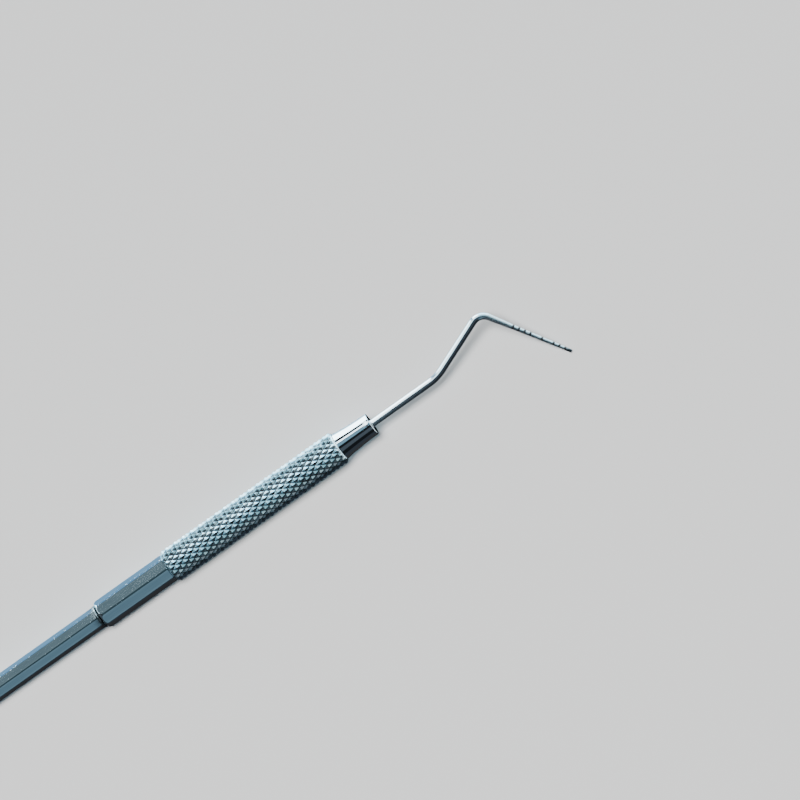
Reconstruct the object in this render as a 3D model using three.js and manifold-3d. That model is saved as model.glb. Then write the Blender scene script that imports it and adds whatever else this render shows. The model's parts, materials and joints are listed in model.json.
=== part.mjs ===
// Williams periodontal probe: a one-ended dental hand instrument in stainless steel.
// Lengths are millimetres and angles are degrees until they are used.
//
// Every piece is made in the handle's own frame: +X runs along the handle towards the
// working end, x = 0 is the collar's front face, the bent wire lies in the XY plane and
// a corner of the octagonal handle points along +Z. The last lines lay the finished
// instrument down on z = 0, the way it rests on a flat tray.
import * as THREE from 'three';
import { mergeVertices } from 'three/addons/utils/BufferGeometryUtils.js';
import Module from 'manifold-3d';

const wasm = await Module();
wasm.setup();

// ---------------------------------------------------------------- driving dimensions
const SEAT_GAP = 0.02;      // radial play of a spigot in its bore
const FACE_GAP = 0.05;      // play between two faces that butt together

const WIRE = {
  rootLength: 9,            // hidden length inside the collar
  radius: 0.625,
  firstLeg: 12.8,           // collar face to the first bend's corner
  firstTurn: 21.7,
  firstBendRadius: 8,
  secondLeg: 12.4,          // corner to corner
  secondTurn: -79.1,
  secondBendRadius: 2.1,
  tipLeg: 16.1,             // second corner to the blunt end
  endRadius: 0.27,
  tenMarkRadius: 0.38,      // at the 10 mm mark
  tipRootRadius: 0.53,      // where the second bend ends
  endRounding: 0.12,
  sides: 12,
};

const MARKS = {
  depths: [1, 2, 3, 5, 7, 8, 9, 10],  // Williams graduation, from the blunt end
  width: 0.32,
  grooveDepth: 0.06,
  play: 0.01,
};

const COLLAR = {
  length: 6.4,
  rearRadius: 2.36,
  frontRadius: 1.93,
  hollow: 0.10,             // how far the taper's side sags below a straight cone
  edge: 0.12,
  spigotLength: 12,
  sides: 36,
};

const GRIP = {
  length: 33.9,
  crestRadius: 2.88,
  valleyRadius: 2.56,
  starts: 17,               // grooves of each hand round the grip
  rowPitch: 0.82,           // half a diamond along the grip
  endChamfer: 0.36,
  boreRadius: 1.75,
  boreSides: 24,
};

const NECK = {
  length: 13.5,
  acrossFlats: 4.66,
  cornerRadius: 0.8,
  endRoundLength: 0.4,
  endRoundDepth: 0.25,
  spigotLength: 14,
  holeLength: 9,
};

const ROD = {
  length: 78.1,
  acrossFlats: 3.64,
  cornerRadius: 0.6,
  ringRadius: 2.02,
  ringWidth: 0.35,
  runOut: 0.55,             // cone from the ring down to the flats
  runOutRadius: 1.76,       // where the cone ends, just under the flats
  endChamfer: 0.45,
};

const STUD = {
  length: 8,
  crestRadius: 1.25,
  rootRadius: 1.02,
  pitch: 0.45,
  relief: 0.6,              // plain length next to the ring
  clearance: 0.05,
  sides: 16,
};

const JOINT_GAP = 0.2;      // the dark line between neck and rod

const OCTAGON_SIDES = 8;
const ROUND_SIDES = 40;
const CORNER_SEGMENTS = 3;
const TAPER_STEPS = 6;
const NECK_ROUND_STEPS = 5;
const TIP_ROUND_STEPS = 3;
const BEND_STEP = 9;        // largest turn between two rings of the bent wire
const OVERLAP = 1;          // how far joined pieces and cutters run past each other
const SAME_POINT = 0.0005;  // corners closer than this are one corner

const GRIP_FRONT = -COLLAR.length;
const GRIP_REAR = GRIP_FRONT - GRIP.length;
const NECK_REAR = GRIP_REAR - NECK.length;
const ROD_FRONT = NECK_REAR - JOINT_GAP;
const ROD_REAR = ROD_FRONT - ROD.length;

// ---------------------------------------------------------------- materials
function steel(color, roughness) {
  return new THREE.MeshStandardMaterial({ color, roughness, metalness: 1 });
}

function blackEnamel() {
  return new THREE.MeshStandardMaterial({ color: 0x0d0e10, roughness: 0.55, metalness: 0 });
}

const SATIN_STEEL = { color: 0x9fb4bf, roughness: 0.34 };
const KNURLED_STEEL = { color: 0xb4c4ca, roughness: 0.3 };
const POLISHED_STEEL = { color: 0xc9d0d4, roughness: 0.1 };

// ---------------------------------------------------------------- shapes about the X axis
const radians = THREE.MathUtils.degToRad;

// A solid of revolution from [x, radius] points. The outside runs towards +X.
function turned(profile, sides) {
  const points = profile.map(([x, radius]) => new THREE.Vector2(radius, x));
  const geometry = new THREE.LatheGeometry(points, sides);
  geometry.rotateZ(-Math.PI / 2);
  return geometry;
}

function roundBar(from, to, radius, sides) {
  return turned([[from, 0], [from, radius], [to, radius], [to, 0]], sides);
}

// An octagonal bar with rounded edges, one edge along +Z.
function octagonalBar(from, to, acrossFlats, cornerRadius) {
  const halfTurn = Math.PI / OCTAGON_SIDES;
  const arcCentre = (acrossFlats / 2 - cornerRadius) / Math.cos(halfTurn);
  const outline = new THREE.Shape();
  for (let corner = 0; corner < OCTAGON_SIDES; corner += 1) {
    const angle = 2 * halfTurn * corner;
    const centreX = arcCentre * Math.cos(angle);
    const centreY = arcCentre * Math.sin(angle);
    outline.absarc(centreX, centreY, cornerRadius, angle - halfTurn, angle + halfTurn);
  }
  const settings = { depth: to - from, bevelEnabled: false, curveSegments: CORNER_SEGMENTS };
  const geometry = new THREE.ExtrudeGeometry(outline, settings);
  geometry.rotateY(Math.PI / 2);
  geometry.translate(from, 0, 0);
  return geometry;
}

// Points of a quarter ellipse from (0, 0) to (length, depth), steep at (0, 0).
function quarterRound(length, depth, steps) {
  const points = [];
  for (let step = 0; step <= steps; step += 1) {
    const angle = (Math.PI / 2) * (step / steps);
    points.push([length * (1 - Math.cos(angle)), depth * Math.sin(angle)]);
  }
  return points;
}

// ---------------------------------------------------------------- solids and booleans
function isWhole([a, b, c]) {
  return a !== b && b !== c && c !== a;
}

function toSolid(geometry) {
  const bare = new THREE.BufferGeometry();
  bare.setAttribute('position', geometry.getAttribute('position'));
  bare.setIndex(geometry.index);
  const merged = mergeVertices(bare, SAME_POINT);
  const corners = Array.from(merged.index.array);
  const triangles = [];
  for (let first = 0; first < corners.length; first += 3) {
    triangles.push(corners.slice(first, first + 3));
  }
  return new wasm.Manifold(new wasm.Mesh({
    numProp: 3,
    vertProperties: merged.getAttribute('position').array,
    triVerts: Uint32Array.from(triangles.filter(isWhole).flat()),
  }));
}

function toGeometry(solid) {
  const mesh = solid.getMesh();
  const geometry = new THREE.BufferGeometry();
  geometry.setAttribute('position', new THREE.BufferAttribute(mesh.vertProperties, 3));
  geometry.setIndex(new THREE.BufferAttribute(mesh.triVerts, 1));
  geometry.computeVertexNormals();
  return geometry;
}

// ---------------------------------------------------------------- the wire's centre line
// Straight and bent stretches in order from the hidden root to the blunt end.
function wireStretches() {
  const firstTurn = radians(WIRE.firstTurn);
  const secondTurn = radians(WIRE.secondTurn);
  const firstTangent = WIRE.firstBendRadius * Math.tan(Math.abs(firstTurn) / 2);
  const secondTangent = WIRE.secondBendRadius * Math.tan(Math.abs(secondTurn) / 2);
  return [
    { length: WIRE.rootLength + WIRE.firstLeg - firstTangent, turn: 0 },
    { length: WIRE.firstBendRadius * Math.abs(firstTurn), turn: firstTurn },
    { length: WIRE.secondLeg - firstTangent - secondTangent, turn: 0 },
    { length: WIRE.secondBendRadius * Math.abs(secondTurn), turn: secondTurn },
    { length: WIRE.tipLeg - secondTangent, turn: 0 },
  ];
}

const STRETCHES = wireStretches();
const WIRE_LENGTH = STRETCHES.reduce((sum, stretch) => sum + stretch.length, 0);
const TIP_STRETCH = STRETCHES.at(-1).length;
const LAST_BEND = STRETCHES.at(-2).length;

// Where the centre line is, and which way it heads, at a distance from the root.
function centreLine(distance) {
  let left = distance;
  let x = -WIRE.rootLength;
  let y = 0;
  let heading = 0;
  for (const { length, turn } of STRETCHES) {
    const part = Math.min(left, length);
    const swing = turn * (part / length);
    const chord = swing === 0 ? part : (2 * part * Math.sin(swing / 2)) / swing;
    x += chord * Math.cos(heading + swing / 2);
    y += chord * Math.sin(heading + swing / 2);
    heading += swing;
    left -= part;
  }
  return { x, y, heading };
}

// Bends a straight turned piece, whose x is the distance from the root, along the wire.
function bend(geometry) {
  const position = geometry.getAttribute('position');
  for (let index = 0; index < position.count; index += 1) {
    const side = position.getY(index);
    const line = centreLine(position.getX(index));
    const x = line.x - side * Math.sin(line.heading);
    const y = line.y + side * Math.cos(line.heading);
    position.setXY(index, x, y);
  }
  return geometry;
}

// ---------------------------------------------------------------- wire and depth marks
function wireRadius(distance) {
  const fromTip = WIRE_LENGTH - distance;
  const stations = [
    [0, WIRE.endRadius],
    [MARKS.depths.at(-1), WIRE.tenMarkRadius],
    [TIP_STRETCH, WIRE.tipRootRadius],
    [TIP_STRETCH + LAST_BEND, WIRE.radius],
    [WIRE_LENGTH, WIRE.radius],
  ];
  const reached = stations.findIndex(([station]) => fromTip <= station);
  const next = Math.max(reached === -1 ? stations.length - 1 : reached, 1);
  const [near, nearRadius] = stations[next - 1];
  const [far, farRadius] = stations[next];
  return THREE.MathUtils.mapLinear(fromTip, near, far, nearRadius, farRadius);
}

// A mark's tip-side edge is its reading.
function markSpan(depth) {
  const end = WIRE_LENGTH - depth;
  return { start: end - MARKS.width, end };
}

function bendRings() {
  const distances = [];
  let start = 0;
  for (const { length, turn } of STRETCHES) {
    const steps = Math.max(1, Math.ceil(Math.abs(THREE.MathUtils.radToDeg(turn)) / BEND_STEP));
    for (let step = 0; step < steps; step += 1) {
      distances.push(start + (length * step) / steps);
    }
    start += length;
  }
  return distances;
}

function wire() {
  const profile = [[0, 0]];
  for (const distance of bendRings()) {
    profile.push([distance, wireRadius(distance)]);
  }
  for (const depth of [...MARKS.depths].reverse()) {
    const { start, end } = markSpan(depth);
    profile.push([start, wireRadius(start)]);
    profile.push([start, wireRadius(start) - MARKS.grooveDepth]);
    profile.push([end, wireRadius(end) - MARKS.grooveDepth]);
    profile.push([end, wireRadius(end)]);
  }
  const rounding = quarterRound(WIRE.endRounding, WIRE.endRounding, TIP_ROUND_STEPS).reverse();
  for (const [back, up] of rounding) {
    profile.push([WIRE_LENGTH - back, WIRE.endRadius - WIRE.endRounding + up]);
  }
  profile.push([WIRE_LENGTH, 0]);
  return bend(turned(profile, WIRE.sides));
}

function depthMark(depth) {
  const { start, end } = markSpan(depth);
  const from = start + MARKS.play;
  const to = end - MARKS.play;
  const inner = MARKS.grooveDepth - MARKS.play;
  const outer = MARKS.play;
  return bend(turned([
    [from, wireRadius(from) - outer],
    [to, wireRadius(to) - outer],
    [to, wireRadius(to) - inner],
    [from, wireRadius(from) - inner],
    [from, wireRadius(from) - outer],
  ], WIRE.sides));
}

// ---------------------------------------------------------------- handle pieces
function frontCollar() {
  const boreRadius = WIRE.radius + SEAT_GAP;
  const spigotRadius = GRIP.boreRadius - SEAT_GAP;
  const rear = GRIP_FRONT + FACE_GAP;
  const spigotEnd = GRIP_FRONT - COLLAR.spigotLength;
  const boreEnd = -WIRE.rootLength - FACE_GAP;
  const taper = [];
  for (let step = 0; step <= TAPER_STEPS; step += 1) {
    const along = step / TAPER_STEPS;
    const straight = THREE.MathUtils.lerp(COLLAR.rearRadius, COLLAR.frontRadius, along);
    const sag = COLLAR.hollow * 4 * along * (1 - along);
    taper.push([THREE.MathUtils.lerp(rear, -COLLAR.edge, along), straight - sag]);
  }
  return turned([
    [spigotEnd, 0],
    [spigotEnd, spigotRadius - COLLAR.edge],
    [spigotEnd + COLLAR.edge, spigotRadius],
    [rear, spigotRadius],
    ...taper,
    [0, COLLAR.frontRadius - COLLAR.edge],
    [0, boreRadius],
    [boreEnd, boreRadius],
    [boreEnd, 0],
  ], COLLAR.sides);
}

// Diamond knurling: a ring grid whose points are crests and groove crossings in turn.
// Each cell is split along its groove, so the grooves run straight from crossing to crossing.
function knurledBar(from, rows) {
  const columns = GRIP.starts * 2;
  const positions = [from, 0, 0];
  for (let row = 0; row <= rows; row += 1) {
    for (let column = 0; column < columns; column += 1) {
      const isCrest = (row + column) % 2 === 1;
      const radius = isCrest ? GRIP.crestRadius : GRIP.valleyRadius;
      const angle = (2 * Math.PI * column) / columns;
      positions.push(from + row * GRIP.rowPitch, radius * Math.cos(angle), radius * Math.sin(angle));
    }
  }
  positions.push(from + rows * GRIP.rowPitch, 0, 0);
  const lastPoint = positions.length / 3 - 1;
  const at = (row, column) => 1 + row * columns + (column % columns);
  const index = [];
  for (let column = 0; column < columns; column += 1) {
    index.push(0, at(0, column + 1), at(0, column));
    index.push(lastPoint, at(rows, column), at(rows, column + 1));
  }
  for (let row = 0; row < rows; row += 1) {
    for (let column = 0; column < columns; column += 1) {
      const a = at(row, column);
      const b = at(row + 1, column);
      const c = at(row + 1, column + 1);
      const d = at(row, column + 1);
      const grooveRunsUp = (row + column) % 2 === 0;
      index.push(...(grooveRunsUp ? [a, d, c, a, c, b] : [a, d, b, b, d, c]));
    }
  }
  const geometry = new THREE.BufferGeometry();
  geometry.setAttribute('position', new THREE.Float32BufferAttribute(positions, 3));
  geometry.setIndex(index);
  return geometry;
}

function knurledGrip() {
  const rows = 2 * Math.ceil(GRIP.length / GRIP.rowPitch / 2) + 2;
  const overrun = (rows * GRIP.rowPitch - GRIP.length) / 2;
  const chamferRadius = GRIP.crestRadius - GRIP.endChamfer;
  const clearRadius = GRIP.crestRadius + GRIP.endChamfer;
  const slope = clearRadius - chamferRadius;
  const envelope = turned([
    [GRIP_REAR, 0],
    [GRIP_REAR, chamferRadius],
    [GRIP_REAR + slope, clearRadius],
    [GRIP_FRONT - slope, clearRadius],
    [GRIP_FRONT, chamferRadius],
    [GRIP_FRONT, 0],
  ], GRIP.starts * 2);
  const bore = roundBar(GRIP_REAR - OVERLAP, GRIP_FRONT + OVERLAP, GRIP.boreRadius, GRIP.boreSides);
  const bar = toSolid(knurledBar(GRIP_REAR - overrun, rows));
  return toGeometry(bar.intersect(toSolid(envelope)).subtract(toSolid(bore)));
}

function octagonalNeck() {
  const front = GRIP_REAR - FACE_GAP;
  const halfAcross = NECK.acrossFlats / 2 / Math.cos(Math.PI / OCTAGON_SIDES);
  const faceRadius = halfAcross - NECK.endRoundDepth;
  const rounded = quarterRound(NECK.endRoundLength, NECK.endRoundDepth, NECK_ROUND_STEPS);
  const envelope = turned([
    [NECK_REAR, 0],
    ...rounded.map(([x, rise]) => [NECK_REAR + x, faceRadius + rise]),
    [front, halfAcross],
    [front, 0],
  ], ROUND_SIDES);
  const bar = octagonalBar(NECK_REAR, front, NECK.acrossFlats, NECK.cornerRadius);
  const spigotRadius = GRIP.boreRadius - SEAT_GAP;
  const spigotEnd = GRIP_REAR + NECK.spigotLength;
  const spigot = roundBar(front - OVERLAP, spigotEnd, spigotRadius, GRIP.boreSides);
  const holeRadius = STUD.crestRadius + STUD.clearance;
  const holeEnd = NECK_REAR + NECK.holeLength;
  const hole = roundBar(NECK_REAR - OVERLAP, holeEnd, holeRadius, STUD.sides);
  const body = toSolid(bar).intersect(toSolid(envelope)).add(toSolid(spigot));
  return toGeometry(body.subtract(toSolid(hole)));
}

// The stud's thread is drawn as closed ridges, one per turn.
function threadedStud() {
  const start = ROD_FRONT - OVERLAP;
  const threadStart = ROD_FRONT + STUD.relief;
  const end = ROD_FRONT + STUD.length;
  const turns = Math.floor((end - threadStart) / STUD.pitch);
  const profile = [[start, 0], [start, STUD.rootRadius], [threadStart, STUD.rootRadius]];
  for (let turn = 0; turn < turns; turn += 1) {
    profile.push([threadStart + (turn + 0.5) * STUD.pitch, STUD.crestRadius]);
    profile.push([threadStart + (turn + 1) * STUD.pitch, STUD.rootRadius]);
  }
  profile.push([end, STUD.rootRadius], [end, 0]);
  return turned(profile, STUD.sides);
}

function rearRod() {
  const halfAcross = ROD.acrossFlats / 2 / Math.cos(Math.PI / OCTAGON_SIDES);
  const ringRear = ROD_FRONT - ROD.ringWidth;
  const coneRear = ringRear - ROD.runOut;
  const envelope = turned([
    [ROD_REAR, 0],
    [ROD_REAR, halfAcross - ROD.endChamfer],
    [ROD_REAR + ROD.endChamfer, halfAcross],
    [ROD_FRONT, halfAcross],
    [ROD_FRONT, 0],
  ], ROUND_SIDES);
  const ring = turned([
    [coneRear, 0],
    [coneRear, ROD.runOutRadius],
    [ringRear, ROD.ringRadius],
    [ROD_FRONT, ROD.ringRadius],
    [ROD_FRONT, 0],
  ], ROUND_SIDES);
  const bar = octagonalBar(ROD_REAR, ringRear, ROD.acrossFlats, ROD.cornerRadius);
  const shaped = toSolid(bar).intersect(toSolid(envelope));
  return toGeometry(shaped.add(toSolid(ring)).add(toSolid(threadedStud())));
}

// ---------------------------------------------------------------- assembly
function named(name, geometry, material) {
  const mesh = new THREE.Mesh(geometry, material);
  mesh.name = name;
  return mesh;
}

function instrument() {
  const group = new THREE.Group();
  group.add(named('probe_wire', wire(), steel(POLISHED_STEEL.color, POLISHED_STEEL.roughness)));
  for (const depth of MARKS.depths) {
    const name = `depth_mark_${String(depth).padStart(2, '0')}mm`;
    group.add(named(name, depthMark(depth), blackEnamel()));
  }
  const polished = steel(POLISHED_STEEL.color, POLISHED_STEEL.roughness);
  group.add(named('front_collar', frontCollar(), polished));
  const knurled = steel(KNURLED_STEEL.color, KNURLED_STEEL.roughness);
  group.add(named('knurled_grip', knurledGrip(), knurled));
  group.add(named('octagonal_neck', octagonalNeck(), steel(SATIN_STEEL.color, SATIN_STEEL.roughness)));
  group.add(named('rear_rod', rearRod(), steel(SATIN_STEEL.color, SATIN_STEEL.roughness)));
  return group;
}

// At rest one flat of the handle faces straight down, and the handle slopes a little
// to the rear, from the grip's rear edge down to the rod's end.
function laidDown(group) {
  const drop = GRIP.crestRadius - ROD.acrossFlats / 2;
  const run = GRIP_REAR + GRIP.endChamfer - (ROD_REAR + ROD.endChamfer);
  group.rotation.order = 'YXZ';
  group.rotation.x = Math.PI / OCTAGON_SIDES;
  group.rotation.y = -Math.atan2(drop, run);
  const lying = new THREE.Group();
  lying.add(group);
  const box = new THREE.Box3().setFromObject(lying, true);
  const centre = box.getCenter(new THREE.Vector3());
  group.position.set(-centre.x, -centre.y, -box.min.z);
  return lying;
}

export default laidDown(instrument());
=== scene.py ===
"""Looks of the graduated dental probe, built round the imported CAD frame.

Every piece is made in the handle's own frame, in millimetres: +X runs along the handle
towards the working end, x = 0 is the collar's front face, the bent wire lies in the XY
plane and +Z is the wire plane's normal. A matrix taken from the record's mounts then lays
each piece on its CAD node. The finishes read the same millimetres from the point layer
"own", in which the wire is still straight, so that its grain follows its bends.
"""
import json
import math

import bpy
import numpy as np
from mathutils import Matrix, Vector


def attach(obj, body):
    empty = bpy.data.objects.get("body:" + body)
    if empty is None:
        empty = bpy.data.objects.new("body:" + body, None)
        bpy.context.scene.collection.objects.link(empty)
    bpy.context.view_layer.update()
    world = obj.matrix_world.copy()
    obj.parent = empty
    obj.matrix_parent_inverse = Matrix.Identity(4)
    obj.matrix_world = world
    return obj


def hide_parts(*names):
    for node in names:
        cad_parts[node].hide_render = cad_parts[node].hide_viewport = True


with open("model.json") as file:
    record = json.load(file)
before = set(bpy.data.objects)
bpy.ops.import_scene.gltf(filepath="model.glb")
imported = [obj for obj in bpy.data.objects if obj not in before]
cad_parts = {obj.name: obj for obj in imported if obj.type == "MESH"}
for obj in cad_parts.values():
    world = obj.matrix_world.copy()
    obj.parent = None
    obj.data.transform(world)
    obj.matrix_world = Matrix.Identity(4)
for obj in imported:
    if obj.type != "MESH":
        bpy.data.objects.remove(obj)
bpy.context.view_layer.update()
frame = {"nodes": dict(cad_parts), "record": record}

MM = 0.001
TURN = 2 * math.pi
rng = np.random.default_rng(27)

# ------------------------------------------------------------------ driving sizes, mm
WIRE_RADIUS = 0.625
POLISH = 0.008                  # how far the wire's surface lies inside its CAD node
WIRE_ROOT = 9.0                 # hidden length inside the collar
WIRE_LEGS = (12.8, 12.4, 16.1)  # from the collar to the tip, measured to the sharp corners
WIRE_TURNS = (21.7, -79.1)      # degrees
WIRE_BENDS = (8.0, 2.1)         # radius of each bend's centre line
TIP_END_RADIUS = 0.27
TEN_MARK_RADIUS = 0.38
TIP_ROOT_RADIUS = 0.53
TIP_ROUNDING = 0.12
# how far from its end the wire is painted nearly black
DARK_END_LENGTH = 1.1
WIRE_SIDES = 40

MARK_DEPTHS = (1, 2, 3, 5, 7, 8, 9, 10)
MARK_WIDTH = 0.32
GROOVE_DEPTH = 0.06
GROOVE_LIP = 0.02
MARK_PLAY = 0.004
MARK_WOBBLE = 0.006

COLLAR_REAR_RADIUS = 2.35
COLLAR_FRONT_RADIUS = 1.93
COLLAR_HOLLOW = 0.10
COLLAR_EDGE = 0.12
COLLAR_SPIGOT = 12.0
COLLAR_SIDES = 96
FILLET = 0.06

GRIP_CREST = 2.875
GRIP_VALLEY = 2.53
GRIP_STARTS = 17                # grooves of each hand
GRIP_ROW = 0.82                 # from one row of crests to the next
GRIP_CUTS = 6                   # points per row and per half groove
GRIP_RIM = 2.52
GRIP_RIM_WIDTH = 0.12
GRIP_RIM_EDGE = (0.06, 0.07)    # its bevel, along and across the handle
GRIP_BORE = 1.75
BORE_BEVEL = 0.15

NECK_FLATS = 4.66
NECK_CORNER = 0.9
NECK_ROUND = (0.6, 0.30)        # its rounded rear end, along and across the handle
NECK_BEVEL = 0.06
NECK_SPIGOT = 14.0
NECK_HOLE = 9.0
HOLE_BEVEL = 0.25
SPIGOT_BEVEL = 0.1
GRIND_DEPTH = 0.003             # of the waves left in the flats
GRIND_WAVES = (5.5, 11.0, 23.0)

ROD_FLATS = 3.635
ROD_CORNER = 0.7
RING_RADIUS = 2.0
RING_WIDTH = 0.33
RING_ROUND = 0.12
RUN_OUT = 0.45                  # the cone between the ring and the flats
ROD_CHAMFER = 0.45

STUD_LENGTH = 8.0
STUD_CREST = 1.25
STUD_ROOT = 1.02
STUD_PITCH = 0.45
STUD_RELIEF = 0.6

JOINT_GAP = 0.2
JOINT_GRIME_AND_SHADE = (0.25, 1.3)       # how far the dirt and the painted shade of the joint reach over the neck and over the rod
SEAT_GAP = 0.02
FACE_GAP = 0.05
ROUND_OFF = 1e-6


# ------------------------------------------------------------------ the handle's frame
def mount(name):
    return next(m for m in frame["record"]["mounts"] if m["name"] == name)


def frame_at_rod_end():
    """The handle's axes, with the origin on the rod's rear end, in metres."""
    along = -Vector(mount("rod_end")["axis"]).normalized()
    flat_normal = Vector(mount("rod_upper_flat")["axis"]).normalized()
    wire_normal = Matrix.Rotation(TURN / 16, 3, along) @ flat_normal
    across = wire_normal.cross(along)
    matrix = Matrix((along, across, wire_normal)).transposed().to_4x4()
    matrix.translation = Vector(mount("rod_end")["pos_m"])
    return matrix


def span(node, matrix):
    """Where a CAD node starts and ends along the handle, in mm."""
    inverse = matrix.inverted()
    places = [(inverse @ v.co).x / MM for v in frame["nodes"][node].data.vertices]
    return min(places), max(places)


ROD_END = frame_at_rod_end()
COLLAR_FACE = span("front_collar", ROD_END)[1]
HANDLE = ROD_END @ Matrix.Translation((COLLAR_FACE * MM, 0, 0))
GRIP_REAR, GRIP_FRONT = span("knurled_grip", HANDLE)
NECK_REAR = span("octagonal_neck", HANDLE)[0]
ROD_REAR = span("rear_rod", HANDLE)[0]
ROD_FRONT = NECK_REAR - JOINT_GAP


# ------------------------------------------------------------------ meshes from rings
def add_piece(node, points, faces, material, layers=None, own=None):
    """One closed piece for a CAD node: points in handle millimetres, named values per point."""
    name = node + "_skin"
    points = np.asarray(points, float)
    mesh = bpy.data.meshes.new(name)
    turn, shift = np.array(HANDLE.to_3x3()), np.array(HANDLE.translation)
    mesh.from_pydata((points * MM @ turn.T + shift).tolist(), [], faces)
    mesh.polygons.foreach_set("use_smooth", [True] * len(mesh.polygons))
    places = mesh.attributes.new("own", "FLOAT_VECTOR", "POINT")
    places.data.foreach_set("vector", np.ravel(points if own is None else own).astype(np.float32))
    for layer, values in (layers or {}).items():
        attribute = mesh.attributes.new(layer, "FLOAT", "POINT")
        attribute.data.foreach_set("value", np.asarray(values, np.float32))
    piece = bpy.data.objects.new(name, mesh)
    bpy.context.scene.collection.objects.link(piece)
    mesh.materials.append(material)
    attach(piece, "root")
    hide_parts(node)
    return piece


def crease(piece, degrees):
    """Keeps edges sharper than this angle crisp under smooth shading."""
    piece.data.set_sharp_from_angle(angle=math.radians(degrees))


def ring_points(places, radii, sides):
    """Points of a stack of rings; radii is one row of values per ring."""
    angles = np.arange(sides) * TURN / sides
    x = np.repeat(np.asarray(places, float)[:, None], sides, axis=1)
    radii = np.broadcast_to(np.asarray(radii, float).reshape(len(places), -1), x.shape)
    return np.stack([x, radii * np.cos(angles), radii * np.sin(angles)], axis=2)


def stack_faces(rings, sides, wrapped, flip=None):
    """Faces between rings; wrapped joins the last ring to the first, flip turns the diagonals."""
    faces = []
    last = rings if wrapped else rings - 1
    for row in range(last):
        below = row * sides
        above = ((row + 1) % rings) * sides
        for column in range(sides):
            following = (column + 1) % sides
            a, b = below + column, above + column
            c, d = above + following, below + following
            if flip is None:
                faces.append((a, d, c, b))
            elif flip[row, column]:
                faces += [(a, d, b), (b, d, c)]
            else:
                faces += [(a, d, c), (a, c, b)]
    return faces


def close_ends(points, faces, rings, sides, first, last):
    """Adds the two axis points that close a stack of rings."""
    points = np.vstack([points.reshape(-1, 3), [[first, 0, 0], [last, 0, 0]]])
    start, end = rings * sides, rings * sides + 1
    top = (rings - 1) * sides
    for column in range(sides):
        following = (column + 1) % sides
        faces.append((start, following, column))
        faces.append((end, top + column, top + following))
    return points, faces


def turned(profile, sides):
    """A solid of revolution from (x, radius) pairs between two points on the axis."""
    places = [x for x, _ in profile]
    radii = [[radius] for _, radius in profile]
    points = ring_points(places, radii, sides)
    faces = stack_faces(len(profile), sides, wrapped=False)
    return close_ends(points, faces, len(profile), sides, places[0], places[-1])


def rounded(start, end, steps):
    """A quarter round from one (x, radius) to another, leaving the first along x."""
    (x0, r0), (x1, r1) = start, end
    angles = np.linspace(0, math.pi / 2, steps + 1)
    return [(x0 + (x1 - x0) * math.sin(a), r1 + (r0 - r1) * math.cos(a)) for a in angles]


def octagon(flats, corner, angles):
    """Radius of a rounded octagon with a corner at angle 0, at each angle."""
    step = TURN / 8
    local = np.abs((angles + step / 2) % step - step / 2)
    centre = (flats / 2 - corner) / math.cos(step / 2)
    arc_end = math.atan2(corner * math.sin(step / 2), centre + corner * math.cos(step / 2))
    on_arc = np.minimum(local, arc_end)
    arc = centre * np.cos(on_arc) + np.sqrt(corner**2 - (centre * np.sin(on_arc)) ** 2)
    flat = flats / 2 / np.cos(step / 2 - local)
    return np.where(local < arc_end, arc, flat)


# ------------------------------------------------------------------ the wire's centre line
def wire_stretches():
    """(length, turn in radians) of each straight and bent stretch, from the root."""
    turns = [math.radians(turn) for turn in WIRE_TURNS]
    tangents = [bend * math.tan(abs(turn) / 2) for bend, turn in zip(WIRE_BENDS, turns)]
    return [
        (WIRE_ROOT + WIRE_LEGS[0] - tangents[0], 0.0),
        (WIRE_BENDS[0] * abs(turns[0]), turns[0]),
        (WIRE_LEGS[1] - tangents[0] - tangents[1], 0.0),
        (WIRE_BENDS[1] * abs(turns[1]), turns[1]),
        (WIRE_LEGS[2] - tangents[1], 0.0),
    ]


STRETCHES = wire_stretches()
WIRE_LENGTH = sum(length for length, _ in STRETCHES)


def centre_line(distance):
    """Place and heading of the wire's centre line at a distance from its root."""
    left, x, y, heading = distance, -WIRE_ROOT, 0.0, 0.0
    for length, turn in STRETCHES:
        part = min(left, length)
        swing = turn * part / length
        chord = part * (math.sin(swing / 2) / (swing / 2) if swing else 1.0)
        x += chord * math.cos(heading + swing / 2)
        y += chord * math.sin(heading + swing / 2)
        heading += swing
        left -= part
    return x, y, heading


def bend(points):
    """Bends straight rings, whose x is the distance from the root, along the wire."""
    bent = points.copy()
    for index, (distance, side, _) in enumerate(points):
        x, y, heading = centre_line(distance)
        bent[index, 0] = x - side * math.sin(heading)
        bent[index, 1] = y + side * math.cos(heading)
    return bent


def wire_radius(distance):
    """The wire's radius at a distance from its root: it tapers over its last leg."""
    tip = STRETCHES[-1][0]
    stations = [0, MARK_DEPTHS[-1], tip, tip + STRETCHES[-2][0]]
    radii = [TIP_END_RADIUS, TEN_MARK_RADIUS, TIP_ROOT_RADIUS, WIRE_RADIUS]
    return float(np.interp(WIRE_LENGTH - distance, stations, radii)) - POLISH


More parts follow.
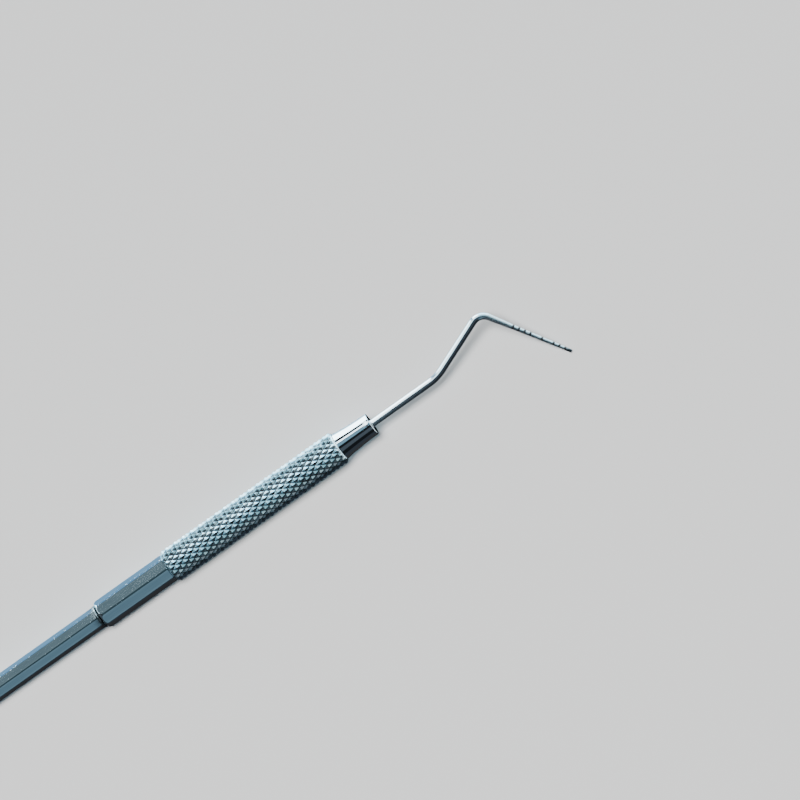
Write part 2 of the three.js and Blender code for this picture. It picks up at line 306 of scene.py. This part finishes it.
# ------------------------------------------------------------------ node helpers
class Shader:
    """One Principled material and the few node steps that every finish here uses."""

    def __init__(self, name, colour, metallic, roughness):
        self.material = bpy.data.materials.new(name)
        self.material.use_nodes = True
        self.tree = self.material.node_tree
        self.surface = self.tree.nodes["Principled BSDF"]
        self.surface.inputs["Base Color"].default_value = (*colour, 1)
        self.surface.inputs["Metallic"].default_value = metallic
        self.surface.inputs["Roughness"].default_value = roughness
        own = self.tree.nodes.new("ShaderNodeAttribute")
        own.attribute_name = "own"
        self.place = own.outputs["Vector"]

    def scaled(self, vector, factors):
        node = self.tree.nodes.new("ShaderNodeVectorMath")
        node.operation = "MULTIPLY"
        self.tree.links.new(vector, node.inputs[0])
        node.inputs[1].default_value = factors
        return node.outputs["Vector"]

    def noise(self, factors, detail=3.0, roughness=0.55):
        """Noise whose factors are its cycles per millimetre along each axis."""
        node = self.tree.nodes.new("ShaderNodeTexNoise")
        node.inputs["Scale"].default_value = 1
        node.inputs["Detail"].default_value = detail
        node.inputs["Roughness"].default_value = roughness
        self.tree.links.new(self.scaled(self.place, factors), node.inputs["Vector"])
        return node.outputs["Fac"]

    def layer(self, name):
        node = self.tree.nodes.new("ShaderNodeAttribute")
        node.attribute_name = name
        return node.outputs["Fac"]

    def ranged(self, value, low, high, to_low, to_high):
        node = self.tree.nodes.new("ShaderNodeMapRange")
        for name, number in zip(("From Min", "From Max", "To Min", "To Max"),
                                (low, high, to_low, to_high)):
            node.inputs[name].default_value = number
        self.tree.links.new(value, node.inputs["Value"])
        return node.outputs["Result"]

    def math(self, operation, first, second):
        node = self.tree.nodes.new("ShaderNodeMath")
        node.operation = operation
        for socket, value in zip(node.inputs, (first, second)):
            if isinstance(value, (int, float)):
                socket.default_value = value
            else:
                self.tree.links.new(value, socket)
        return node.outputs["Value"]

    def mixed(self, factor, first, second):
        """A colour between two; each is a colour or another node's output."""
        node = self.tree.nodes.new("ShaderNodeMix")
        node.data_type = "RGBA"
        self.tree.links.new(factor, node.inputs["Factor"])
        sockets = [s for s in node.inputs if s.type == "RGBA"]
        for socket, value in zip(sockets, (first, second)):
            if isinstance(value, tuple):
                socket.default_value = (*value, 1)
            else:
                self.tree.links.new(value, socket)
        return next(s for s in node.outputs if s.type == "RGBA")

    def bump(self, height, millimetres, strength=1.0, under=None):
        node = self.tree.nodes.new("ShaderNodeBump")
        node.inputs["Distance"].default_value = millimetres * MM
        node.inputs["Strength"].default_value = strength
        self.tree.links.new(height, node.inputs["Height"])
        if under is not None:
            self.tree.links.new(under, node.inputs["Normal"])
        return node.outputs["Normal"]

    def finish(self, colour=None, roughness=None, normal=None):
        inputs = {"Base Color": colour, "Roughness": roughness, "Normal": normal}
        for name, value in inputs.items():
            if value is not None:
                self.tree.links.new(value, self.surface.inputs[name])
        return self.material


# ------------------------------------------------------------------ finishes
def satin_steel():
    """Steel ground along its length, worn bright on its edges; round the joint it is rougher with dirt
    and its colour is darkened as painted shade.
    """
    shader = Shader("satin_steel", (0.50, 0.58, 0.63), 1.0, 0.3)
    grain = shader.noise((0.22, 15, 15), detail=4)
    patches = shader.noise((0.25, 0.5, 0.5), detail=2)
    specks = shader.noise((2.6, 5, 5), detail=2)
    edge = shader.layer("edge")
    worn = shader.math("MULTIPLY", edge, shader.ranged(grain, 0.35, 0.6, 0.35, 1.0))
    nicks = shader.math("MULTIPLY", edge, shader.ranged(specks, 0.66, 0.71, 0.0, 1.0))
    # the joint's dirt and painted shade: it dulls the steel and darkens its colour to stand for the shade
    # in the joint
    grime_and_shade = shader.math("MULTIPLY", shader.layer("grime_and_shade"), shader.ranged(specks, 0.3, 0.6, 1.0, 0.55))
    steel = shader.mixed(patches, (0.43, 0.51, 0.56), (0.56, 0.63, 0.67))
    streaked = shader.mixed(shader.ranged(grain, 0.3, 0.7, 0.0, 0.35), steel, (0.66, 0.73, 0.77))
    bright = shader.math("MAXIMUM", worn, nicks)
    unshaded_steel = shader.mixed(bright, streaked, (0.70, 0.77, 0.80))
    # painted shade: the steel's colour goes to a brownish black round the joint
    colour = shader.mixed(grime_and_shade, unshaded_steel, (0.09, 0.085, 0.075))
    rough = shader.math("ADD", shader.ranged(grain, 0.3, 0.7, 0.07, 0.09),
                        shader.ranged(patches, 0.3, 0.7, -0.01, 0.01))
    smoother = shader.math("SUBTRACT", rough, shader.math("MULTIPLY", worn, 0.03))
    dulled = shader.math("ADD", smoother, shader.math("MULTIPLY", grime_and_shade, 0.25))
    ground = shader.bump(grain, 0.00015, 0.6)
    return shader.finish(colour, dulled, shader.bump(nicks, -0.004, 0.8, under=ground))


def knurled_steel():
    """Knurled steel: bright burnished crests, with the flanks painted darker down into the grooves as
    painted shade.
    """
    shader = Shader("knurled_steel", (0.62, 0.69, 0.72), 1.0, 0.3)
    height = shader.layer("height")
    fine = shader.noise((6, 6, 6), detail=4)
    patches = shader.noise((0.3, 0.6, 0.6), detail=2)
    raised = shader.math("ADD", height, shader.ranged(patches, 0.3, 0.7, -0.12, 0.12))
    # painted shade: the colour falls to near black towards the bottom of each groove
    clear_of_groove = shader.ranged(raised, 0.02, 0.26, 0, 1)
    flank_with_groove_shade = shader.mixed(clear_of_groove, (0.13, 0.15, 0.16), (0.56, 0.70, 0.75))
    colour = shader.mixed(shader.ranged(raised, 0.5, 0.95, 0, 1), flank_with_groove_shade, (0.68, 0.86, 0.92))
    rough = shader.ranged(raised, 0.0, 0.9, 0.20, 0.10)
    varied = shader.math("ADD", rough, shader.ranged(fine, 0.3, 0.7, -0.04, 0.04))
    return shader.finish(colour, varied, shader.bump(fine, 0.002, 0.5))


def polished_collar():
    """Mirror polish over faint turning lines, with a few smears."""
    shader = Shader("polished_collar", (0.74, 0.79, 0.82), 1.0, 0.08)
    lines = shader.noise((26, 0.4, 0.4), detail=3)
    smears = shader.noise((0.5, 0.8, 0.8), detail=3)
    rough = shader.math("ADD", shader.ranged(smears, 0.35, 0.7, 0.03, 0.08),
                        shader.ranged(lines, 0.3, 0.7, 0.0, 0.02))
    colour = shader.mixed(smears, (0.70, 0.76, 0.79), (0.80, 0.84, 0.86))
    return shader.finish(colour, rough, shader.bump(lines, 0.0003, 0.6))


def polished_wire():
    """Bright drawn wire; the tapered tip is finer and duller, and its end is painted nearly black."""
    shader = Shader("polished_wire", (0.74, 0.77, 0.79), 1.0, 0.12)
    drawn = shader.noise((3, 16, 16), detail=3)
    patches = shader.noise((0.8, 1.2, 1.2), detail=2)
    taper = shader.layer("taper")
    dark_end = shader.layer("dark_end")
    bright = shader.mixed(patches, (0.70, 0.73, 0.75), (0.80, 0.83, 0.85))
    duller = shader.mixed(shader.ranged(taper, 0, 1, 0, 0.45), bright, (0.42, 0.44, 0.46))
    # the wire's end is painted nearly black
    colour = shader.mixed(dark_end, duller, (0.055, 0.058, 0.065))
    rough = shader.math("ADD", shader.ranged(drawn, 0.3, 0.7, 0.08, 0.16),
                        shader.math("MULTIPLY", taper, 0.13))
    return shader.finish(colour, rough, shader.bump(drawn, 0.0016, 0.5))


def mark_enamel():
    """Black baked enamel, a little greyed where instruments rub it."""
    shader = Shader("mark_enamel", (0.012, 0.012, 0.014), 0.0, 0.6)
    rub = shader.noise((7, 7, 7), detail=4)
    greyed = shader.ranged(rub, 0.55, 0.8, 0, 1)
    colour = shader.mixed(greyed, (0.006, 0.006, 0.007), (0.03, 0.031, 0.034))
    rough = shader.ranged(rub, 0.3, 0.7, 0.55, 0.75)
    return shader.finish(colour, rough, shader.bump(rub, 0.004, 0.5))


# ------------------------------------------------------------------ grip
def knurl_height(column, row):
    """Height of the diamond pattern from 0 in a groove to 1 on a crest."""
    one_hand = np.abs((column + row) / 2 - np.round((column + row) / 2)) * 2
    other_hand = np.abs((column - row) / 2 - np.round((column - row) / 2)) * 2
    softness = 0.06
    lower = np.minimum(one_hand, other_hand)
    blend = np.clip(0.5 + 0.5 * (one_hand - other_hand) / softness, 0, 1)
    smooth = one_hand * (1 - blend) + other_hand * blend - softness * blend * (1 - blend)
    peak = np.minimum(smooth, lower)
    root, crest = 0.04, 0.06
    eased = np.sqrt(peak**2 + root**2) - root
    eased = 1 - (np.sqrt((1 - eased) ** 2 + crest**2) - crest)
    return np.clip(eased, 0, 1)


def crest_wear(column, rows, half_rows):
    """A share just under 1 for each pyramid, so that no two crests are quite as high."""
    shares = rng.uniform(0.90, 1.0, (GRIP_STARTS, 2 * half_rows + 3))
    one_hand = np.floor((column[None, :] + rows[:, None]) / 2 + ROUND_OFF).astype(int)
    other_hand = np.floor((column[None, :] - rows[:, None]) / 2 + ROUND_OFF).astype(int)
    return shares[one_hand % GRIP_STARTS, one_hand - other_hand + half_rows + 1]


def grip_ends():
    """(x, radius) pairs from the front rim through the bore back to the rear rim."""
    rim_edge, face_edge = GRIP_RIM_EDGE
    face = GRIP_RIM - face_edge
    bore_edge = GRIP_BORE + BORE_BEVEL
    return [(GRIP_FRONT - GRIP_RIM_WIDTH, GRIP_RIM), (GRIP_FRONT - rim_edge, GRIP_RIM),
            (GRIP_FRONT, face), (GRIP_FRONT, bore_edge), (GRIP_FRONT - BORE_BEVEL, GRIP_BORE),
            (GRIP_REAR + BORE_BEVEL, GRIP_BORE), (GRIP_REAR, bore_edge), (GRIP_REAR, face),
            (GRIP_REAR + rim_edge, GRIP_RIM), (GRIP_REAR + GRIP_RIM_WIDTH, GRIP_RIM)]


def knurled_grip(material):
    columns = GRIP_STARTS * 2 * GRIP_CUTS
    length = GRIP_FRONT - GRIP_REAR
    middle = (GRIP_FRONT + GRIP_REAR) / 2
    half_rows = math.ceil(length / 2 / GRIP_ROW)
    rows = np.arange(-half_rows * GRIP_CUTS, half_rows * GRIP_CUTS + 1) / GRIP_CUTS
    places = middle + rows * GRIP_ROW
    inside = (places > GRIP_REAR + GRIP_RIM_WIDTH) & (places < GRIP_FRONT - GRIP_RIM_WIDTH)
    rows, places = rows[inside], places[inside]
    column = np.arange(columns) / GRIP_CUTS
    height = knurl_height(column[None, :], rows[:, None]) * crest_wear(column, rows, half_rows)
    radius = GRIP_VALLEY + (GRIP_CREST - GRIP_VALLEY) * height
    to_end = np.minimum(places - GRIP_REAR, GRIP_FRONT - places)[:, None]
    radius = np.minimum(radius, GRIP_RIM + to_end - GRIP_RIM_WIDTH)
    ends = grip_ends()
    all_places = [*places, *(x for x, _ in ends)]
    all_radii = np.vstack([radius, *(np.full((1, columns), r) for _, r in ends)])
    points = ring_points(all_places, all_radii, columns)
    cell_row = np.floor(np.append(rows, np.zeros(len(ends))) + ROUND_OFF).astype(int)
    cell_column = np.floor(column + ROUND_OFF).astype(int)
    flip = (cell_row[:, None] + cell_column[None, :]) % 2 == 1
    faces = stack_faces(len(all_places), columns, wrapped=True, flip=flip)
    # the rims and bore take a crest's colour, without the painted groove shade
    end_height = 0.8
    layer = np.vstack([height, np.full((len(ends), columns), end_height)])
    piece = add_piece("knurled_grip", points.reshape(-1, 3), faces, material,
                      {"height": layer.ravel()})
    crease(piece, 30)


# ------------------------------------------------------------------ collar
def front_collar(material):
    rear = GRIP_FRONT + FACE_GAP
    spigot_end = GRIP_FRONT - COLLAR_SPIGOT
    spigot = GRIP_BORE - SEAT_GAP
    bore = WIRE_RADIUS + SEAT_GAP
    along = np.linspace(0, 1, 25)
    front = -COLLAR_EDGE
    rear_bevel = 0.05
    taper_x = rear + rear_bevel + (front - rear - rear_bevel) * along
    straight = COLLAR_REAR_RADIUS + (COLLAR_FRONT_RADIUS - COLLAR_REAR_RADIUS) * along
    taper_r = straight - COLLAR_HOLLOW * 4 * along * (1 - along)
    profile = [(spigot_end, spigot - SPIGOT_BEVEL), (spigot_end + SPIGOT_BEVEL, spigot),
               (rear, spigot), (rear, COLLAR_REAR_RADIUS - rear_bevel), *zip(taper_x, taper_r),
               *rounded((front, COLLAR_FRONT_RADIUS), (0, COLLAR_FRONT_RADIUS - COLLAR_EDGE), 5)[1:],
               (0, bore + FILLET), *rounded((0, bore + FILLET), (FILLET * 0.6, bore), 4)[1:],
               (-WIRE_ROOT - FACE_GAP, bore)]
    points, faces = turned(profile, COLLAR_SIDES)
    piece = add_piece("front_collar", points, faces, material)
    crease(piece, 35)


# ------------------------------------------------------------------ neck and rod
def section_angles(points_per_side):
    """Angles of an octagonal ring, closer together round the corners."""
    step = TURN / 8
    share = np.linspace(-1, 1, points_per_side, endpoint=False)
    eased = np.sign(share) * np.abs(share) ** 1.8
    return np.concatenate([corner * step + eased * step / 2 for corner in range(8)])


def octagonal_rings(sections, angles):
    """Points of rings whose radii are given at uneven angles."""
    x = np.repeat(np.array([place for place, _ in sections])[:, None], len(angles), axis=1)
    radii = np.array([np.broadcast_to(radius, angles.shape) for _, radius in sections])
    return np.stack([x, radii * np.cos(angles), radii * np.sin(angles)], axis=2)


def edge_share(angles, flats, corner):
    """1 on an octagon's corners, 0 on its flats."""
    step = TURN / 8
    local = np.abs((angles + step / 2) % step - step / 2)
    width = corner * math.sin(step / 2) / (flats / 2)
    return np.clip(1.5 - local / width, 0, 1)


def hand_ground(places, angles):
    """How much each flat dips at each place: long shallow waves left by hand grinding."""
    dips = np.zeros((len(places), len(angles)))
    for side in range(8):
        centre = TURN / 8 * (side + 0.5)
        away = np.abs((angles - centre + math.pi) % TURN - math.pi)
        on_flat = np.cos(np.clip(away / (TURN / 16), 0, 1) * math.pi / 2) ** 2
        for wave in GRIND_WAVES:
            phase = rng.uniform(0, TURN)
            dips += np.outer(0.5 + 0.5 * np.sin(places / wave * TURN + phase), on_flat)
    return dips * GRIND_DEPTH / len(GRIND_WAVES)


def octagonal_neck(material):
    angles = section_angles(14)
    outline = octagon(NECK_FLATS, NECK_CORNER, angles)
    front = GRIP_REAR - FACE_GAP
    spigot = GRIP_BORE - SEAT_GAP
    hole = STUD_CREST + FACE_GAP
    corner_radius = outline.max()
    sections = [(NECK_REAR + NECK_HOLE, hole), (NECK_REAR + HOLE_BEVEL, hole),
                (NECK_REAR, hole + HOLE_BEVEL)]
    round_length, round_depth = NECK_ROUND
    for x, limit in reversed(rounded((NECK_REAR + round_length, corner_radius),
                                     (NECK_REAR, corner_radius - round_depth), 9)):
        sections.append((x, np.minimum(outline, limit)))
    places = np.linspace(NECK_REAR + round_length, front - NECK_BEVEL, 60)[1:]
    dips = hand_ground(places, angles)
    sections += [(x, outline - dip) for x, dip in zip(places, dips)]
    sections += [(front, outline - NECK_BEVEL), (front, spigot),
                 (GRIP_REAR + NECK_SPIGOT - SPIGOT_BEVEL, spigot),
                 (GRIP_REAR + NECK_SPIGOT, spigot - SPIGOT_BEVEL)]
    octagonal_piece("octagonal_neck", sections, angles, material, NECK_FLATS, NECK_CORNER)


# How strongly the joint is dirtied and painted with shade.
def joint_grime_and_shade(x):
    """1 next to the joint between neck and rod, fading to 0 away from it."""
    ahead, behind = JOINT_GRIME_AND_SHADE
    away = (x - NECK_REAR) / ahead if x > NECK_REAR else (ROD_FRONT - RING_WIDTH - x) / behind
    return float(np.clip(1 - away, 0, 1)) ** 1.5


def octagonal_piece(node, sections, angles, material, flats, corner):
    """A piece from (x, radii round the ring) sections, with its worn edges, and the dirt and painted
    shade round its joint.
    """
    points = octagonal_rings(sections, angles)
    faces = stack_faces(len(sections), len(angles), wrapped=False)
    points, faces = close_ends(points, faces, len(sections), len(angles),
                               sections[0][0], sections[-1][0])
    shares = np.tile(edge_share(angles, flats, corner), len(sections))
    edge = np.append(shares, [0, 0])
    # painted shade and dirt round the joint
    grime_and_shade = np.append(np.repeat([joint_grime_and_shade(x) for x, _ in sections], len(angles)), [0, 0])
    layers = {"edge": edge, "grime_and_shade": grime_and_shade}
    piece = add_piece(node, points, faces, material, layers)
    crease(piece, 32)


def thread_sections():
    """The threaded stud, drawn as one closed ridge per turn."""
    start = ROD_FRONT + STUD_RELIEF
    end = ROD_FRONT + STUD_LENGTH
    sections = [(ROD_FRONT, STUD_ROOT), (start, STUD_ROOT)]
    for turn in range(int((end - start) / STUD_PITCH)):
        sections.append((start + (turn + 0.4) * STUD_PITCH, STUD_CREST))
        sections.append((start + (turn + 0.6) * STUD_PITCH, STUD_CREST))
        sections.append((start + (turn + 1) * STUD_PITCH, STUD_ROOT))
    return [*sections, (end, STUD_ROOT - SPIGOT_BEVEL)]


def rear_rod(material):
    angles = section_angles(12)
    outline = octagon(ROD_FLATS, ROD_CORNER, angles)
    corner_radius = outline.max()
    ring_rear = ROD_FRONT - RING_WIDTH
    cone_rear = ring_rear - RUN_OUT
    chamfer = np.linspace(0, 1, 24)
    sections = [(ROD_REAR + ROD_CHAMFER * along,
                 np.minimum(outline, corner_radius - ROD_CHAMFER * (1 - along))) for along in chamfer]
    places = np.linspace(ROD_REAR + ROD_CHAMFER, cone_rear, 180)[1:]
    dips = hand_ground(places, angles)
    sections += [(x, outline - dip) for x, dip in zip(places, dips)]
    cone_low = ROD_FLATS / 2 - ROD_CORNER / 2
    for along in np.linspace(0, 1, 14)[1:]:
        cone = cone_low + (RING_RADIUS - cone_low) * along
        sections.append((cone_rear + RUN_OUT * along, np.maximum(outline, cone)))
    sections += [(x, np.full(len(angles), r)) for x, r in
                 rounded((ring_rear + RING_ROUND, RING_RADIUS), (ROD_FRONT, RING_RADIUS - RING_ROUND), 4)]
    sections += thread_sections()
    octagonal_piece("rear_rod", sections, angles, material, ROD_FLATS, ROD_CORNER)


# ------------------------------------------------------------------ wire and marks
def mark_span(depth):
    """Where a mark starts and ends, as distances from the wire's root."""
    end = WIRE_LENGTH - depth
    return end - MARK_WIDTH, end


def wire_stations():
    """(distance, radius) down the wire, with its grooves and its rounded blunt end."""
    stations = []
    start = 0.0
    for length, turn in STRETCHES:
        steps = max(int(length / 0.5), int(abs(math.degrees(turn)) / 2.5), 1)
        stations += [start + length * step / steps for step in range(steps)]
        start += length
    grooves = [mark_span(depth) for depth in MARK_DEPTHS]
    profile = [(x, wire_radius(x)) for x in stations if x < WIRE_LENGTH - TIP_ROUNDING
               and all(abs(x - (a + b) / 2) > MARK_WIDTH for a, b in grooves)]
    draft = 0.002
    for start, end in grooves:
        at_start, at_end = wire_radius(start), wire_radius(end)
        profile += [(start - GROOVE_LIP, at_start), (start, at_start - GROOVE_LIP),
                    (start + draft, at_start - GROOVE_DEPTH), (end - draft, at_end - GROOVE_DEPTH),
                    (end, at_end - GROOVE_LIP), (end + GROOVE_LIP, at_end)]
    profile.sort(key=lambda station: station[0])
    tip_radius = wire_radius(WIRE_LENGTH)
    profile += rounded((WIRE_LENGTH - TIP_ROUNDING, tip_radius),
                       (WIRE_LENGTH - POLISH, tip_radius - TIP_ROUNDING), 6)
    return profile


def probe_wire(material):
    points, faces = turned(wire_stations(), WIRE_SIDES)
    from_tip = WIRE_LENGTH - points[:, 0]
    taper = np.clip(1 - (from_tip - STRETCHES[-1][0]) / 2.0, 0, 1)
    # 1 over the end that is painted nearly black
    dark_end = np.clip((DARK_END_LENGTH - from_tip) / 0.2, 0, 1) * 0.95
    piece = add_piece("probe_wire", bend(points), faces, material,
                      {"taper": taper, "dark_end": dark_end}, own=points)
    crease(piece, 40)


def depth_mark(depth, material):
    start, end = mark_span(depth)
    low, top = GROOVE_DEPTH - MARK_PLAY, MARK_PLAY
    a, b = start + MARK_PLAY, end - MARK_PLAY
    soft = 0.02
    profile = [(a, wire_radius(a) - top - soft), (a + soft, wire_radius(a) - top),
               (b - soft, wire_radius(b) - top), (b, wire_radius(b) - top - soft),
               (b, wire_radius(b) - low), (a, wire_radius(a) - low)]
    points = ring_points([x for x, _ in profile], [[r] for _, r in profile], WIRE_SIDES)
    round_mark = np.arange(WIRE_SIDES) * TURN / WIRE_SIDES
    points[1:3, :, 0] += MARK_WOBBLE * np.sin(round_mark * 3 + rng.uniform(0, TURN))
    faces = stack_faces(len(profile), WIRE_SIDES, wrapped=True)
    points = points.reshape(-1, 3)
    piece = add_piece(f"depth_mark_{depth:02d}mm", bend(points), faces, material,
                      own=points)
    crease(piece, 60)


# ------------------------------------------------------------------ stage, light and camera
PHOTO_SPAN = 128.2              # width of the view in the wire's plane, mm
HANDLE_SLANT = 35.3             # how steeply the handle climbs to the right, degrees
FRONT_TILT = 6.5                # the working end leans towards the camera, degrees
LOOK_AT = (5.90, 0.51, 0.0)     # centre of the view in the handle's frame, mm
LENS = 300.0
SENSOR = 36.0

FAR, NEAR = 0.8, 0.2            # how far the panels stand from the handle, metres
# The patches of a bright room that the steel mirrors. For each: how far away; then from
# where to where round the handle, from the camera's side (0) over the upper left (90), in
# degrees; then from where to where along the handle, in metres; then its radiance per
# colour. Where two patches lie over each other their light adds up.
PANELS = {
    "window_side": (FAR, (72, 134), (0.14, 0.95), (2.7, 5.0, 6.3)),
    "window_front": (FAR, (66, 124), (-0.158, 0.14), (7.5, 9.3, 10.0)),
    "window_dim": (FAR, (66, 118), (-0.30, -0.158), (0.20, 0.45, 0.75)),
    "window_rear": (FAR, (68, 118), (-0.55, -0.30), (5.0, 6.6, 7.2)),
    "window_far": (FAR, (60, 118), (-0.95, -0.55), (0.3, 0.6, 0.75)),
    "foot_side": (FAR, (134, 165), (0.03, 0.95), (1.8, 3.3, 4.1)),
    "foot_front": (FAR, (124, 152), (-0.158, 0.03), (1.1, 1.8, 2.3)),
    "foot_rear": (FAR, (118, 152), (-0.28, -0.158), (0.30, 0.62, 0.95)),
    "foot_far": (FAR, (118, 165), (-0.95, -0.28), (1.1, 2.3, 2.9)),
    "table": (FAR, (152, 172), (-0.28, 0.03), (1.0, 1.3, 1.5)),
    "pane_collar": (FAR, (32, 44), (-0.075, 0.14), (4.5, 5.4, 5.8)),
    "pane_wire": (FAR, (24, 60), (-0.13, -0.075), (4.5, 5.4, 5.8)),
    "pane_rear": (FAR, (36, 62), (-0.58, -0.31), (3.4, 4.4, 4.8)),
    "pane_leg": (NEAR, (4, 42), (-0.058, -0.029), (3.4, 4.4, 4.8)),
    "skylight": (FAR, (33, 72), (0.14, 0.95), (0.9, 1.7, 2.1)),
    "skylight_low": (FAR, (4, 33), (0.20, 0.95), (0.48, 0.80, 0.90)),
    "skylight_edge": (FAR, (-14, 4), (0.30, 0.95), (0.70, 0.90, 0.95)),
    "low_sky": (FAR, (-44, -14), (0.30, 0.95), (0.33, 0.34, 0.36)),
    "far_sky": (FAR, (42, 60), (-0.95, -0.58), (0.25, 0.55, 0.7)),
    "far_fill": (FAR, (-60, 42), (-0.95, -0.50), (0.07, 0.08, 0.09)),
    "ceiling_front": (FAR, (4, 31), (-0.075, 0.14), (0.22, 0.42, 0.56)),
    "ceiling_rear": (FAR, (20, 62), (-0.31, -0.13), (0.19, 0.265, 0.295)),
    "ceiling_low": (FAR, (-22, 20), (-0.285, -0.115), (0.04, 0.075, 0.09)),
    "wall_front": (FAR, (-46, -16), (-0.105, 0.30), (0.07, 0.09, 0.11)),
    "wall_rear": (FAR, (-75, -22), (-0.42, -0.115), (0.17, 0.28, 0.35)),
    "low_fill": (FAR, (-110, -78), (-0.95, 0.95), (0.03, 0.035, 0.045)),
    "under_fill": (FAR, (-175, -110), (-0.95, 0.95), (0.035, 0.032, 0.032)),
}
# Across the handle's line: how far along it and how high the middle is, width and height
# in metres, radiance.
END_PANELS = {
    "beyond_tip": (1.0, -0.4, (2.0, 2.0), (2.0, 2.4, 2.6)),
    "beyond_rod": (-1.0, 0.3, (2.4, 1.2), (0.10, 0.13, 0.15)),
}
OVERHEAD_ENERGY = 36.0
OVERHEAD_SIZE = 0.6
OVERHEAD_HEIGHT = 1.3
OVERHEAD_SLANT = 15.0
FLOOR_HALF = 3.0
FLOOR_LEVEL = -0.00002
DARK_ROOM = (0.010, 0.012, 0.015)


def in_handle(x, y, z):
    """A direction of the handle's frame, in the row frame."""
    return (HANDLE.to_3x3() @ Vector((x, y, z))).normalized()


def placed(data, matrix):
    thing = bpy.data.objects.new(data.name, data)
    bpy.context.scene.collection.objects.link(thing)
    thing.matrix_world = matrix
    return thing


def add_camera():
    tilt, slant = math.radians(FRONT_TILT), math.radians(HANDLE_SLANT)
    towards = in_handle(math.sin(tilt), 0, math.cos(tilt))
    along = in_handle(math.cos(tilt), 0, -math.sin(tilt))
    side = towards.cross(along)
    right = math.cos(slant) * along - math.sin(slant) * side
    up = math.sin(slant) * along + math.cos(slant) * side
    data = bpy.data.cameras.new("camera")
    data.lens = LENS
    data.sensor_width = SENSOR
    data.clip_start = 0.01
    matrix = Matrix((right, up, towards)).transposed().to_4x4()
    matrix.translation = HANDLE @ (Vector(LOOK_AT) * MM) + towards * PHOTO_SPAN * MM * LENS / SENSOR
    bpy.context.scene.camera = placed(data, matrix)


def add_light_sheet(name, size, radiance, matrix):
    """A rectangle of light that only shows as a reflection in the metal."""
    data = bpy.data.lights.new(name, "AREA")
    data.shape = "RECTANGLE"
    data.size, data.size_y = size
    strongest = max(radiance)
    data.color = [part / strongest for part in radiance]
    data.energy = strongest * math.pi * data.size * data.size_y
    light = placed(data, matrix)
    light.visible_camera = False
    light.visible_diffuse = False


def add_panel(name, distance, angles, places, radiance):
    """A flat panel of light beside the handle, parallel to it and facing it."""
    middle = math.radians(sum(angles) / 2)
    outward = in_handle(0, math.sin(middle), math.cos(middle))
    along = in_handle(1, 0, 0)
    width = 2 * distance * math.tan(math.radians(angles[1] - angles[0]) / 2)
    matrix = Matrix((along, outward.cross(along), outward)).transposed().to_4x4()
    middle_of_work = HANDLE @ Vector((LOOK_AT[0] * MM, 0, 0))
    matrix.translation = middle_of_work + outward * distance + along * sum(places) / 2
    add_light_sheet(name, (places[1] - places[0], width), radiance, matrix)


def add_end_panel(name, place, rise, size, radiance):
    """A panel of light across the handle's line, beyond one of its ends."""
    outward = in_handle(place, 0, 0)
    upward = in_handle(0, 0, 1)
    matrix = Matrix((upward.cross(outward), upward, outward)).transposed().to_4x4()
    matrix.translation = in_handle(1, 0, 0) * place + upward * rise
    add_light_sheet(name, size, radiance, matrix)


def add_overhead():
    """A wide soft light for the floor alone; the metal doesn't mirror it."""
    data = bpy.data.lights.new("overhead", "AREA")
    data.size = OVERHEAD_SIZE
    data.energy = OVERHEAD_ENERGY
    aside = math.radians(OVERHEAD_SLANT)
    from_side = in_handle(0, math.sin(aside), math.cos(aside))
    light = placed(data, from_side.to_track_quat("Z", "Y").to_matrix().to_4x4())
    light.location = from_side * OVERHEAD_HEIGHT
    light.visible_camera = False
    light.visible_glossy = False


def add_room():
    """The dark between the panels of light."""
    world = bpy.data.worlds.new("room")
    world.use_nodes = True
    world.node_tree.nodes["Background"].inputs["Color"].default_value = (*DARK_ROOM, 1)
    bpy.context.scene.world = world


def add_floor():
    """A plain pale floor just under the part; the metal doesn't mirror it."""
    mesh = bpy.data.meshes.new("floor")
    corners = [(-1, -1), (1, -1), (1, 1), (-1, 1)]
    mesh.from_pydata([(x * FLOOR_HALF, y * FLOOR_HALF, FLOOR_LEVEL) for x, y in corners], [],
                     [(0, 1, 2, 3)])
    floor = bpy.data.objects.new("floor", mesh)
    bpy.context.scene.collection.objects.link(floor)
    shader = Shader("floor_paper", (0.62, 0.62, 0.615), 0.0, 0.9)
    mesh.materials.append(shader.finish())
    floor.visible_glossy = False
    floor.visible_shadow = False


# ------------------------------------------------------------------ the scene
add_camera()
for panel_name, panel in PANELS.items():
    add_panel(panel_name, *panel)
for panel_name, panel in END_PANELS.items():
    add_end_panel(panel_name, *panel)
add_overhead()
add_room()
add_floor()
satin = satin_steel()
knurled_grip(knurled_steel())
front_collar(polished_collar())
octagonal_neck(satin)
rear_rod(satin)
probe_wire(polished_wire())
enamel = mark_enamel()
for mark in MARK_DEPTHS:
    depth_mark(mark, enamel)
